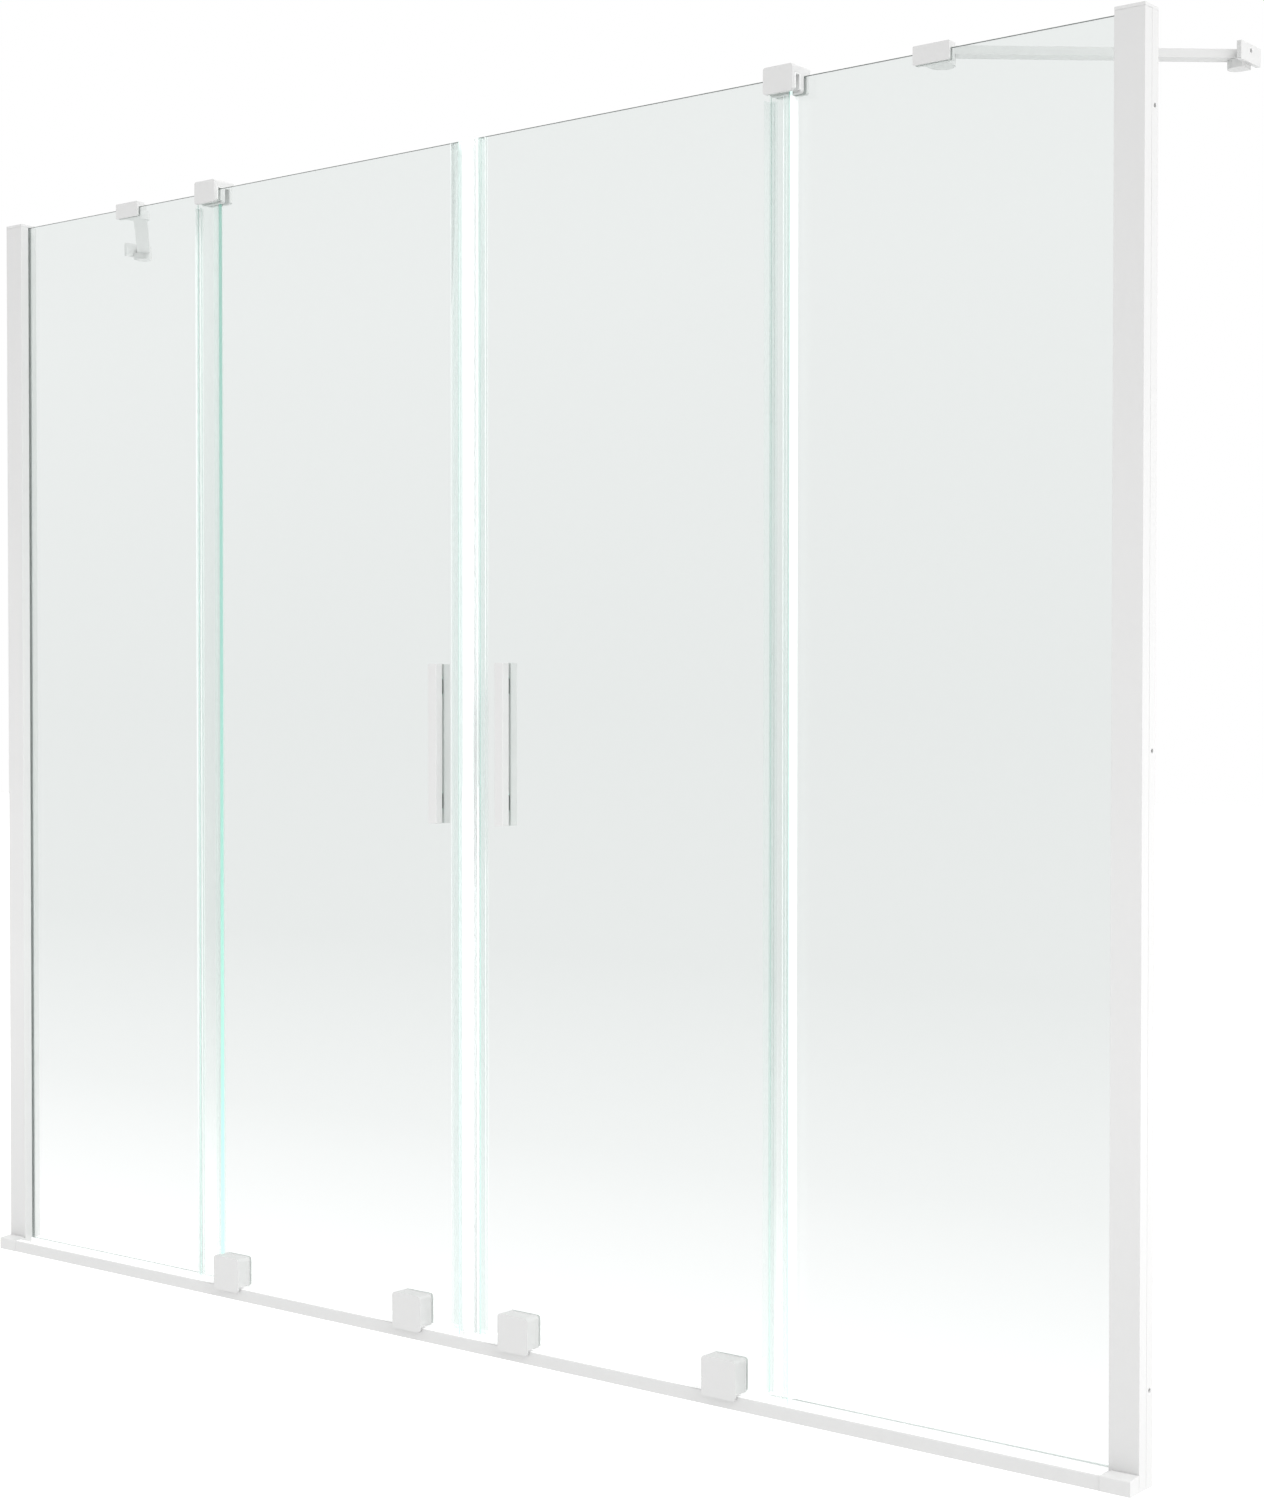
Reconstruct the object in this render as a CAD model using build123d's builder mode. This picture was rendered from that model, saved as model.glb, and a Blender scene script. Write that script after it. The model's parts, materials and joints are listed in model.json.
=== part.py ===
from build123d import *
import os
from math import atan2, degrees

# Four-pane sliding bath screen, millimetres.
# X runs along the screen, -Y is the room side, +Y is over the bath, +Z is up.
# The origin is on the underside of the rail, halfway along it, level with the
# front faces of the two wall profiles.
os.makedirs("parts", exist_ok=True)

# Whole screen
screen_width = 1800.0
screen_height = 1500.0
glass = 6.0
fixed_front = 14.0
door_front = -2.0
slip = 0.3
pin_play = 0.05
edge_arris = 0.4
fixed_top_drop = 4.5
door_top_drop = 2.2

# Wall profiles, a wall channel and a cover that clips over it
profile_face = 34.0
profile_depth = 30.0
profile_wall = 2.0
profile_seam = 15.5
tongue_from = 6.0
tongue_to = 24.0
cap_thickness = 4.0
cap_edge = 0.8
cap_prong = 12.0
wall_hole_radius = 2.5
wall_hole_y = 22.3
wall_hole_end = 100.0
glass_in_profile = 24.0
gasket_wall = 1.0
gasket_lip = 0.5

# Bottom rail
rail_front = -19.0
rail_height = 16.0
rail_wall = 2.0
rail_lip = 10.0
trough_back = 10.5
trough_floor = 4.0
foot_round = 0.5
rail_round = 1.5
fixed_seat = 6.0
strip_wall = 1.2
end_cap_proud = 0.6
end_cap_step = 3.0
end_cap_rise = 2.2
end_cap_plug = 18.0

# Glass, left and right, as distances from the middle of the screen
closing_line = 2.0
door_inner = {"left": 14.0, "right": 18.0}
door_outer = {"left": 489.0, "right": 476.0}
fixed_free = {"left": 459.0, "right": 440.0}
door_foot_gap = 5.0

# Seals
seal_wall = 1.2
seal_grip = 12.0
edge_grip = 8.0
seal_clearance = 3.0
magnet_width = 8.2
magnet_depth = 9.0
magnet_gap = 0.3
magnet_round = 1.5
fin = 0.8
fin_gap = 0.6

# Top guide blocks
guide_at = 465.0
guide_width = 39.4
guide_skin = 5.0
guide_rise = 10.5
guide_grip = 19.5
guide_round = 3.0
pane_gap = 1.0
liner_wall = 2.6
liner_roof = 1.6
liner_gap = 0.4
door_lift = 2.1
grub_radius = 2.5
grub_drop = 13.0
grub_spacing = 20.0
grub_sunk = 1.0

# Stabilisers from the fixed panes to the side walls
brace_at = 647.5
brace_width = 45.0
brace_front_skin = 3.0
brace_back_skin = 4.0
brace_grip = 12.5
brace_rise = 8.0
brace_round = 1.2
brace_grub_at = 18.0
brace_grub_drop = 7.0
pivot_radius = 14.0
bar_width = 19.0
bar_height = 9.5
bar_drop = 4.5
pivot_pin_radius = 3.0
bracket_y = 254.0
bracket_width = 51.0
bracket_height = 20.0
bracket_plate = 5.0
bracket_reach = 10.0
socket_radius = 11.0
socket_drop = 10.0
bracket_hole_radius = 2.5
bracket_hole_up = 3.0

# Handles, one bar on each face of each door
handle_at = {"left": 48.5, "right": 60.5}
handle_width = 13.6
handle_depth = 12.0
handle_length = 199.0
handle_middle = 749.5
handle_edge = 0.8
handle_bolt_inset = 28.0
handle_bolt_radius = 2.5
bush_length = 24.6
bush_width = 11.0
bolt_cover = 4.0

# Roller carriages, two to each door
carriage_at = {"left": (84.5, 413.5), "right": (90.5, 396.0)}
carriage_width = 47.0
carriage_height = 45.5
carriage_overhang = 4.5
carriage_clearance = 2.3
carriage_gap = 2.0
carriage_wall = 3.0
carriage_round = 4.5
backplate = 3.0
backplate_round = 3.5
roller_radius = 11.0
roller_width = 7.0
hub_radius = 5.0
hub_step = 1.2
tread_depth = 2.0
axle_radius = 2.5
carriage_screw_spacing = 28.0
carriage_screw_drop = 11.0
carriage_screw_radius = 2.0
screw_head_radius = 3.6
screw_head_height = 1.6

# Worked out from the sizes above
half_width = screen_width / 2
profile_inner = half_width - profile_face
profile_top = screen_height - cap_thickness
fixed_back = fixed_front + glass
fixed_top = screen_height - fixed_top_drop
door_back = door_front + glass
door_top = fixed_top - door_top_drop
door_bottom = trough_floor + door_foot_gap
carriage_bottom = rail_height - carriage_overhang
carriage_skirt = rail_height + carriage_clearance
carriage_top = carriage_bottom + carriage_height
carriage_screw_z = carriage_top - carriage_screw_drop
guide_bottom = fixed_top - guide_grip
guide_top = fixed_top + guide_rise
seal_top = guide_bottom - seal_clearance
seal_bottom = rail_height + seal_clearance
fin_bottom = carriage_top + seal_clearance
sides = (("left", -1), ("right", 1))


def slab(x, y, z, mode=Mode.ADD):
    """One box between two corners, given as ranges along X, Y and Z."""
    with Locations(((x[0] + x[1]) / 2, (y[0] + y[1]) / 2, (z[0] + z[1]) / 2)):
        Box(abs(x[1] - x[0]), abs(y[1] - y[0]), abs(z[1] - z[0]), mode=mode)


def rod(radius, x, y, z, mode=Mode.ADD):
    """One round bar along Y at one X and Z."""
    with Locations(Location((x, (y[0] + y[1]) / 2, z), (90, 0, 0))):
        Cylinder(radius, abs(y[1] - y[0]), mode=mode)


def save(piece, name):
    piece.part.label = name
    export_step(piece.part, f"parts/{name}.step")


# Wall profiles, caps and the gaskets that hold the fixed panes in them
for side, s in sides:
    outer = s * half_width
    inner = s * profile_inner
    skin = outer - s * profile_wall
    with BuildPart() as wall_channel:
        slab((skin, outer), (profile_seam, profile_depth), (0, profile_top))
        slab((inner, outer), (profile_depth - profile_wall, profile_depth), (0, profile_top))
        return_y = (fixed_back + gasket_wall, profile_depth)
        slab((inner, inner + s * profile_wall), return_y, (0, profile_top))
        slab((skin - s * profile_wall, skin), (tongue_from, tongue_to), (0, profile_top))
        for z in (wall_hole_end, screen_height / 2, screen_height - wall_hole_end):
            with Locations(Location((skin, wall_hole_y, z), (0, 90, 0))):
                Cylinder(wall_hole_radius, 4 * profile_wall, mode=Mode.SUBTRACT)
    save(wall_channel, f"wall_channel_{side}")

    with BuildPart() as cover_profile:
        slab((inner, outer), (0, profile_wall), (0, profile_top))
        slab((skin, outer), (0, profile_seam), (0, profile_top))
        slab((inner, inner + s * profile_wall), (0, fixed_front - gasket_wall), (0, profile_top))
    save(cover_profile, f"cover_profile_{side}")

    with BuildPart() as profile_cap:
        slab((inner, outer), (0, profile_depth), (profile_top, screen_height))
        fillet(profile_cap.faces().sort_by(Axis.Z)[-1].edges(), cap_edge)
        prong_x = (inner + s * (profile_wall + slip), skin - s * (profile_wall + slip))
        prong_z = (profile_top - cap_prong, profile_top)
        slab(prong_x, (profile_wall + slip, fixed_front - gasket_wall - slip), prong_z)
        slab(prong_x, (fixed_back + gasket_wall + slip, profile_depth - profile_wall - slip), prong_z)
    save(profile_cap, f"profile_cap_{side}")

    glass_end = inner + s * glass_in_profile
    with BuildPart() as fixed_glass:
        standing = (fixed_seat + strip_wall, fixed_top)
        slab((glass_end, s * fixed_free[side]), (fixed_front, fixed_back), standing)
        chamfer(fixed_glass.edges().filter_by(Axis.Z), edge_arris)
    save(fixed_glass, f"fixed_glass_{side}")

    with BuildPart() as gasket:
        lip = inner - s * gasket_lip
        reach = glass_end + s * gasket_wall
        wrap = (fixed_front - gasket_wall, fixed_back + gasket_wall)
        slab((lip, reach), wrap, (rail_height + slip, fixed_top))
        slab((lip, glass_end), (fixed_front, fixed_back), (0, fixed_top), mode=Mode.SUBTRACT)
    save(gasket, f"fixed_gasket_{side}")

# Bottom rail: a hollow front lip that the rollers run on, a trough for the
# doors and a groove for the fixed panes
rail_end = profile_inner - slip
lip_back = rail_front + rail_lip
with BuildPart() as bottom_rail:
    with BuildSketch(Plane.YZ.offset(-rail_end)):
        with BuildLine():
            FilletPolyline(
                (0, 0),
                (rail_front, 0),
                (rail_front, rail_height),
                (lip_back, rail_height),
                (lip_back, trough_floor),
                radius=[foot_round, rail_round, foot_round],
            )
            Polyline(
                (lip_back, trough_floor),
                (trough_back, trough_floor),
                (trough_back, rail_height),
                (fixed_front - strip_wall, rail_height),
                (fixed_front - strip_wall, fixed_seat),
                (fixed_back + strip_wall, fixed_seat),
                (fixed_back + strip_wall, rail_height),
                (profile_depth, rail_height),
                (profile_depth, 0),
                (0, 0),
            )
        make_face()
        with Locations(((rail_front + lip_back) / 2, rail_height / 2)):
            Rectangle(rail_lip - 2 * rail_wall, rail_height - 2 * rail_wall, mode=Mode.SUBTRACT)
    extrude(amount=2 * rail_end)
save(bottom_rail, "bottom_rail")

with BuildPart() as glazing_strips:
    for side, s in sides:
        run = (s * fixed_free[side], s * rail_end)
        slab(run, (fixed_front - strip_wall, fixed_back + strip_wall), (fixed_seat, rail_height))
        above = (fixed_seat + strip_wall, rail_height)
        slab(run, (fixed_front, fixed_back), above, mode=Mode.SUBTRACT)
save(glazing_strips, "glazing_strips")

# End caps close the rail in front of the wall profiles
for side, s in sides:
    front = rail_front - end_cap_proud
    with BuildPart() as end_cap:
        slab((s * rail_end, s * half_width), (front, -slip), (0, rail_height + end_cap_proud))
        fillet(end_cap.edges().filter_by(Axis.X).group_by(Axis.Z)[-1].sort_by(Axis.Y)[0], rail_round)
        with BuildSketch(Plane.YZ.offset(s * (rail_end + end_cap_step))):
            with BuildLine():
                Polyline(
                    (front + rail_round, rail_height),
                    (-slip, rail_height),
                    (-slip, rail_height + end_cap_rise),
                    (front + rail_round, rail_height + end_cap_proud),
                    close=True,
                )
            make_face()
        extrude(amount=s * (half_width - rail_end - end_cap_step))
        chamber_y = (rail_front + rail_wall + slip, lip_back - rail_wall - slip)
        chamber_z = (rail_wall + slip, rail_height - rail_wall - slip)
        slab((s * (rail_end - end_cap_plug), s * rail_end), chamber_y, chamber_z)
    save(end_cap, f"rail_end_cap_{side}")

# Top guides: one block on the free top corner of each fixed pane
guide_slot_front = door_front - liner_gap - liner_wall
guide_slot_back = door_back + liner_gap + liner_wall
guide_rear_slot_front = fixed_front - pane_gap
guide_rear_slot_back = fixed_back + pane_gap
guide_front = guide_slot_front - guide_skin
guide_back = guide_rear_slot_back + guide_skin
liner_ceiling = door_top + door_lift
slot_top = liner_ceiling + liner_roof
grub_z = fixed_top - grub_drop
for side, s in sides:
    x = s * guide_at
    span = (x - guide_width / 2, x + guide_width / 2)
    with BuildPart() as guide_block:
        slab(span, (guide_front, guide_back), (guide_bottom, guide_top))
        fillet(guide_block.edges().filter_by(Axis.Y), guide_round)
        slab(
            span,
            (guide_slot_front, guide_slot_back),
            (guide_bottom, slot_top),
            mode=Mode.SUBTRACT,
        )
        slab(
            span,
            (guide_rear_slot_front, guide_rear_slot_back),
            (guide_bottom, fixed_top),
            mode=Mode.SUBTRACT,
        )
        for offset_x in (-grub_spacing / 2, grub_spacing / 2):
            grub_y = (guide_rear_slot_back, guide_back)
            rod(grub_radius + pin_play, x + offset_x, grub_y, grub_z, Mode.SUBTRACT)
    save(guide_block, f"guide_block_{side}")

    with BuildPart() as guide_liner:
        slab(span, (guide_slot_front, guide_slot_back), (guide_bottom + guide_round, slot_top))
        slab(
            span,
            (guide_slot_front + liner_wall, guide_slot_back - liner_wall),
            (guide_bottom, liner_ceiling),
            mode=Mode.SUBTRACT,
        )
    save(guide_liner, f"guide_liner_{side}")

with BuildPart() as guide_screws:
    for side, s in sides:
        for offset_x in (-grub_spacing / 2, grub_spacing / 2):
            rod(grub_radius, s * guide_at + offset_x, (fixed_back, guide_back - grub_sunk), grub_z)
save(guide_screws, "guide_screws")

# Seal on the free edge of each fixed pane, with a fin towards the door that
# starts above the carriages, so that they pass under it
for side, s in sides:
    edge = s * fixed_free[side]
    beyond = edge - s * seal_wall
    with BuildPart() as fixed_seal:
        slab(
            (beyond, edge + s * edge_grip),
            (fixed_front - seal_wall, fixed_back + seal_wall),
            (seal_bottom, seal_top),
        )
        slab((edge, edge + s * edge_grip), (fixed_front, fixed_back), (0, seal_top), mode=Mode.SUBTRACT)
        slab((beyond, beyond + s * fin), (door_back + fin_gap, fixed_front), (fin_bottom, seal_top))
    save(fixed_seal, f"fixed_edge_seal_{side}")

# Stabilisers: clamp, pivot, bar and wall bracket on each side
brace_front = fixed_front - brace_front_skin
brace_back = fixed_back + brace_back_skin
brace_bottom = fixed_top - brace_grip
brace_top = fixed_top + brace_rise
brace_grub_z = fixed_top - brace_grub_drop
pivot_y = brace_back + pivot_radius
socket_x = half_width - bracket_plate - bracket_reach
bar_middle = brace_top - bar_drop
bar_bottom = bar_middle - bar_height / 2
bar_run = ((socket_x - brace_at) ** 2 + (bracket_y - pivot_y) ** 2) ** 0.5
for side, s in sides:
    x = s * brace_at
    span = (x - brace_width / 2, x + brace_width / 2)
    with BuildPart() as brace_clamp:
        slab(span, (brace_front, brace_back), (brace_bottom, brace_top))
        fillet(brace_clamp.edges().filter_by(Axis.Y), brace_round)
        slab(span, (fixed_front, fixed_back), (brace_bottom, fixed_top), mode=Mode.SUBTRACT)
        grub_x = x - s * brace_grub_at
        rod(grub_radius + pin_play, grub_x, (fixed_back, brace_back), brace_grub_z, Mode.SUBTRACT)
    save(brace_clamp, f"brace_clamp_{side}")

    with BuildPart() as brace_pivot:
        with Locations((x, pivot_y, (brace_bottom + bar_bottom) / 2)):
            Cylinder(pivot_radius, bar_bottom - brace_bottom)
        slab(
            (x - pivot_radius, x + pivot_radius),
            (brace_back, pivot_y),
            (brace_bottom, bar_bottom),
        )
        with Locations((x, pivot_y, (bar_bottom + bar_middle) / 2)):
            Cylinder(pivot_pin_radius, bar_height / 2)
    save(brace_pivot, f"brace_pivot_{side}")

    turn = degrees(atan2(bracket_y - pivot_y, s * (socket_x - brace_at)))
    bar_x = s * (brace_at + socket_x) / 2
    bar_y = (pivot_y + bracket_y) / 2
    with BuildPart() as brace_bar:
        with BuildSketch(Plane((bar_x, bar_y, bar_bottom), z_dir=(0, 0, 1))):
            SlotCenterToCenter(bar_run, bar_width, rotation=turn)
        extrude(amount=bar_height)
        for end_x, end_y in ((x, pivot_y), (s * socket_x, bracket_y)):
            with Locations((end_x, end_y, (bar_bottom + bar_middle) / 2)):
                Cylinder(pivot_pin_radius + pin_play, bar_height / 2, mode=Mode.SUBTRACT)
    save(brace_bar, f"brace_bar_{side}")

    plate_x = s * (half_width - bracket_plate)
    with BuildPart() as brace_bracket:
        slab(
            (plate_x, s * half_width),
            (bracket_y - bracket_width / 2, bracket_y + bracket_width / 2),
            (bar_middle - bracket_height / 2, bar_middle + bracket_height / 2),
        )
        fillet(brace_bracket.edges().filter_by(Axis.X), brace_round)
        with Locations(Location((plate_x, bracket_y, bar_middle + bracket_hole_up), (0, 90, 0))):
            Cylinder(bracket_hole_radius, 4 * bracket_plate, mode=Mode.SUBTRACT)
        with Locations((s * socket_x, bracket_y, bar_bottom - socket_drop / 2)):
            Cylinder(socket_radius, socket_drop)
        slab(
            (s * socket_x, plate_x),
            (bracket_y - socket_radius, bracket_y + socket_radius),
            (bar_bottom - socket_drop, bar_bottom),
        )
        over = (s * half_width, s * (half_width + socket_radius))
        slab(over, (0, 2 * bracket_y), (0, 2 * screen_height), mode=Mode.SUBTRACT)
        with Locations((s * socket_x, bracket_y, (bar_bottom + bar_middle) / 2)):
            Cylinder(pivot_pin_radius, bar_height / 2)
    save(brace_bracket, f"brace_bracket_{side}")

with BuildPart() as brace_screws:
    for side, s in sides:
        grub_x = s * (brace_at - brace_grub_at)
        rod(grub_radius, grub_x, (fixed_back, brace_back - grub_sunk), brace_grub_z)
save(brace_screws, "brace_screws")

# Doors: glass, seals, handles and the fixings that pass through the glass
bolt_heights = (
    handle_middle + handle_length / 2 - handle_bolt_inset,
    handle_middle - handle_length / 2 + handle_bolt_inset,
)
for side, s in sides:
    inner = s * door_inner[side]
    outer = s * door_outer[side]
    handle_x = s * handle_at[side]
    with BuildPart() as door_glass:
        slab((inner, outer), (door_front, door_back), (door_bottom, door_top))
        chamfer(door_glass.edges().filter_by(Axis.Z), edge_arris)
        with BuildSketch(Plane.XZ.offset(-door_back - slip)):
            with Locations(*[(handle_x, z) for z in bolt_heights]):
                SlotOverall(bush_length, bush_width, rotation=90)
            for distance in carriage_at[side]:
                for offset_x in (-carriage_screw_spacing / 2, carriage_screw_spacing / 2):
                    with Locations((s * distance + offset_x, carriage_screw_z)):
                        Circle(carriage_screw_radius + slip)
        extrude(amount=glass + 2 * slip, mode=Mode.SUBTRACT)
    save(door_glass, f"door_glass_{side}")

    line = closing_line + s * magnet_gap / 2
    magnet_back = line + s * magnet_width
    middle_y = (door_front + door_back) / 2
    with BuildPart() as magnet_strip:
        slab(
            (line, magnet_back),
            (middle_y - magnet_depth / 2, middle_y + magnet_depth / 2),
            (seal_bottom, door_top),
        )
        fillet(magnet_strip.edges().filter_by(Axis.Z), magnet_round)
    save(magnet_strip, f"magnet_strip_{side}")

    with BuildPart() as magnet_holder:
        slab(
            (magnet_back, inner + s * seal_grip),
            (door_front - seal_wall, door_back + seal_wall),
            (seal_bottom, door_top),
        )
        slab((inner, inner + s * seal_grip), (door_front, door_back), (0, door_top), mode=Mode.SUBTRACT)
    save(magnet_holder, f"magnet_holder_{side}")

    with BuildPart() as door_seal:
        slab(
            (outer - s * edge_grip, outer + s * seal_wall),
            (door_front - seal_wall, door_back + seal_wall),
            (seal_bottom, seal_top),
        )
        slab((outer - s * edge_grip, outer), (door_front, door_back), (0, seal_top), mode=Mode.SUBTRACT)
        fin_x = outer + s * (seal_wall - fin)
        slab((fin_x, fin_x + s * fin), (door_back, fixed_front - fin_gap), (seal_bottom, seal_top))
    save(door_seal, f"door_edge_seal_{side}")

    span = (handle_x - handle_width / 2, handle_x + handle_width / 2)
    height = (handle_middle - handle_length / 2, handle_middle + handle_length / 2)
    bolt_reach = handle_depth - bolt_cover
    for place, near, far in (("outer", door_front, -1), ("inner", door_back, 1)):
        with BuildPart() as handle:
            slab(span, (near, near + far * handle_depth), height)
            fillet(handle.edges(), handle_edge)
            for z in bolt_heights:
                hole = (near, near + far * bolt_reach)
                rod(handle_bolt_radius + pin_play, handle_x, hole, z, Mode.SUBTRACT)
        save(handle, f"handle_{place}_{side}")

    with BuildPart() as handle_bolts:
        for z in bolt_heights:
            rod(handle_bolt_radius, handle_x, (door_front - bolt_reach, door_back + bolt_reach), z)
    save(handle_bolts, f"handle_bolts_{side}")

    with BuildPart() as handle_bushes:
        with BuildSketch(Plane.XZ.offset(-door_back)):
            with Locations(*[(handle_x, z) for z in bolt_heights]):
                SlotOverall(bush_length - 2 * slip, bush_width - 2 * slip, rotation=90)
                Circle(handle_bolt_radius + pin_play, mode=Mode.SUBTRACT)
        extrude(amount=glass)
    save(handle_bushes, f"handle_bushes_{side}")

# Roller carriages: a hollow cover in front of the door, a plate behind it,
# and a roller on a fixed axle that runs on the rail's front lip
axle_z = rail_height + slip + roller_radius
carriage_back = door_front
carriage_front = rail_front - carriage_gap - carriage_wall
boss = carriage_front + carriage_wall
roller_y = rail_front + rail_lip / 2
roller_front = roller_y - roller_width / 2
roller_back = roller_y + roller_width / 2
axle_span = (carriage_front + carriage_wall / 2, carriage_back - slip)
for side, s in sides:
    for place, distance in zip(("inner", "outer"), carriage_at[side]):
        x = s * distance
        span = (x - carriage_width / 2, x + carriage_width / 2)
        inside = (span[0] + carriage_wall, span[1] - carriage_wall)
        with BuildPart() as carriage:
            slab(span, (carriage_front, carriage_back), (carriage_bottom, carriage_top))
            fillet(carriage.edges().filter_by(Axis.Y), carriage_round)
            cavity_y = (boss, carriage_back - carriage_wall)
            slab(inside, cavity_y, (carriage_bottom, carriage_top - carriage_wall), mode=Mode.SUBTRACT)
            slab(
                (span[0] - slip, span[1] + slip),
                (boss, carriage_back),
                (carriage_bottom, carriage_skirt),
                mode=Mode.SUBTRACT,
            )
            rod(hub_radius, x, (boss, roller_front - slip), axle_z)
            rod(hub_radius, x, (roller_back + slip, carriage_back - carriage_wall), axle_z)
            rod(axle_radius, x, axle_span, axle_z, Mode.SUBTRACT)
            for offset_x in (-carriage_screw_spacing / 2, carriage_screw_spacing / 2):
                rod(
                    carriage_screw_radius + pin_play,
                    x + offset_x,
                    (carriage_back - carriage_wall, carriage_back),
                    carriage_screw_z,
                    Mode.SUBTRACT,
                )
        save(carriage, f"carriage_{side}_{place}")

        with BuildPart() as roller:
            rod(roller_radius, x, (roller_front, roller_back), axle_z)
            for ring_y in ((roller_front, roller_front + hub_step), (roller_back - hub_step, roller_back)):
                rod(roller_radius - tread_depth, x, ring_y, axle_z, Mode.SUBTRACT)
                rod(hub_radius, x, ring_y, axle_z)
            rod(axle_radius + pin_play, x, (roller_front, roller_back), axle_z, Mode.SUBTRACT)
        save(roller, f"roller_{side}_{place}")

    with BuildPart() as axles:
        for distance in carriage_at[side]:
            rod(axle_radius, s * distance, axle_span, axle_z)
    save(axles, f"roller_axles_{side}")

    with BuildPart() as backplates:
        for distance in carriage_at[side]:
            x = s * distance
            slab(
                (x - carriage_width / 2, x + carriage_width / 2),
                (door_back, door_back + backplate),
                (carriage_skirt, carriage_top),
            )
            for offset_x in (-carriage_screw_spacing / 2, carriage_screw_spacing / 2):
                rod(
                    carriage_screw_radius + pin_play,
                    x + offset_x,
                    (door_back, door_back + backplate),
                    carriage_screw_z,
                    Mode.SUBTRACT,
                )
        fillet(backplates.edges().filter_by(Axis.Y).filter_by(GeomType.LINE), backplate_round)
    save(backplates, f"carriage_backplates_{side}")

    with BuildPart() as carriage_screws:
        for distance in carriage_at[side]:
            for offset_x in (-carriage_screw_spacing / 2, carriage_screw_spacing / 2):
                screw_x = s * distance + offset_x
                head_y = door_back + backplate
                shank_y = (carriage_back - carriage_wall, head_y)
                rod(carriage_screw_radius, screw_x, shank_y, carriage_screw_z)
                rod(screw_head_radius, screw_x, (head_y, head_y + screw_head_height), carriage_screw_z)
    save(carriage_screws, f"carriage_screws_{side}")
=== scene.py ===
import json
import math

import bmesh
import bpy
from mathutils import Matrix, Vector


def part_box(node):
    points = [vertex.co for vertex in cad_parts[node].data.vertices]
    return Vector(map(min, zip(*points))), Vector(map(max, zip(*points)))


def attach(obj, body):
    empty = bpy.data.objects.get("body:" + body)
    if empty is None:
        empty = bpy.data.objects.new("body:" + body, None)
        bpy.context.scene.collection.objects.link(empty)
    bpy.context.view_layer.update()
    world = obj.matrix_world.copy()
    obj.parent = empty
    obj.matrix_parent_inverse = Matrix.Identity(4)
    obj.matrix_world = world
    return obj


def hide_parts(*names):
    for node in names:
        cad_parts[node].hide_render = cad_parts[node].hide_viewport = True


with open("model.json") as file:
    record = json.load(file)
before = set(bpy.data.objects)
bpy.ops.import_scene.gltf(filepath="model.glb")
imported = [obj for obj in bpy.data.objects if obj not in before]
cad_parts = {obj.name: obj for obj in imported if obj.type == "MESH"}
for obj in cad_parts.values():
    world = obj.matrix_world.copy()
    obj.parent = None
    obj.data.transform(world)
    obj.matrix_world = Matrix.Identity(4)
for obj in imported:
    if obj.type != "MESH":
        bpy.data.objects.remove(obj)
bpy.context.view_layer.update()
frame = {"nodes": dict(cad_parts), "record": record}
mm = 0.001
print("frame loaded:", len(frame["nodes"]), "nodes")

# Camera, fitted to the edges of the photograph
cameraView = {
    "imageWidth": 1264,
    "imageHeight": 1500,
    "focalPixels": 2463.05,
    "centreX": 535.77,
    "centreY": 754.79,
    "turn": 39.710,
    "tilt": -1.055,
    "roll": -0.018,
    "place": (2.01168, -2.29201, 0.79216),
    "sensor": 36.0,
}


def makeCamera(view):
    camera = bpy.data.cameras.new("photoCamera")
    camera.sensor_fit = "HORIZONTAL"
    camera.sensor_width = view["sensor"]
    camera.lens = view["focalPixels"] / view["imageWidth"] * view["sensor"]
    camera.shift_x = (view["imageWidth"] / 2 - view["centreX"]) / view["imageWidth"]
    camera.shift_y = (view["centreY"] - view["imageHeight"] / 2) / view["imageWidth"]
    camera.clip_end = 60
    seat = bpy.data.objects.new("photoCamera", camera)
    bpy.context.collection.objects.link(seat)
    aim = Matrix.Rotation(math.radians(view["turn"]), 4, "Z")
    aim = aim @ Matrix.Rotation(math.radians(90 + view["tilt"]), 4, "X")
    aim = aim @ Matrix.Rotation(math.radians(view["roll"]), 4, "Z")
    seat.matrix_world = Matrix.Translation(Vector(view["place"])) @ aim
    bpy.context.scene.camera = seat


makeCamera(cameraView)
print("camera placed")

# Studio: a white room with a pale floor at the foot of the bath
studio = {
    "floorDrop": 0.56,
    "floorSize": 30.0,
    "floorColor": (0.93, 0.93, 0.93, 1),
    "floorLift": 0.35,
    "roomLight": 1.0,
    "roomSheen": 0.9,
    "keyPower": 1.9,
    "keyFrom": (0.60, -0.06, 0.79),
    "keySoft": 30.0,
}


def nodesOf(owner):
    owner.use_nodes = True
    owner.node_tree.nodes.clear()
    return owner.node_tree.nodes, owner.node_tree.links


def seenRays(nodes, links):
    path = nodes.new("ShaderNodeLightPath")
    seen = nodes.new("ShaderNodeMath")
    seen.operation = "MAXIMUM"
    links.new(path.outputs["Is Camera Ray"], seen.inputs[0])
    links.new(path.outputs["Is Transmission Ray"], seen.inputs[1])
    return path, seen.outputs[0]


def makeWorld(look):
    world = bpy.data.worlds.new("whiteRoom")
    bpy.context.scene.world = world
    nodes, links = nodesOf(world)
    out = nodes.new("ShaderNodeOutputWorld")
    path = nodes.new("ShaderNodeLightPath")
    strength = nodes.new("ShaderNodeMix")  # reflections see a slightly dimmer room
    strength.inputs["A"].default_value = look["roomLight"]
    strength.inputs["B"].default_value = look["roomSheen"]
    links.new(path.outputs["Is Glossy Ray"], strength.inputs["Factor"])
    background = nodes.new("ShaderNodeBackground")
    background.inputs["Color"].default_value = (1, 1, 1, 1)
    links.new(strength.outputs["Result"], background.inputs["Strength"])
    links.new(background.outputs[0], out.inputs["Surface"])


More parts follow.
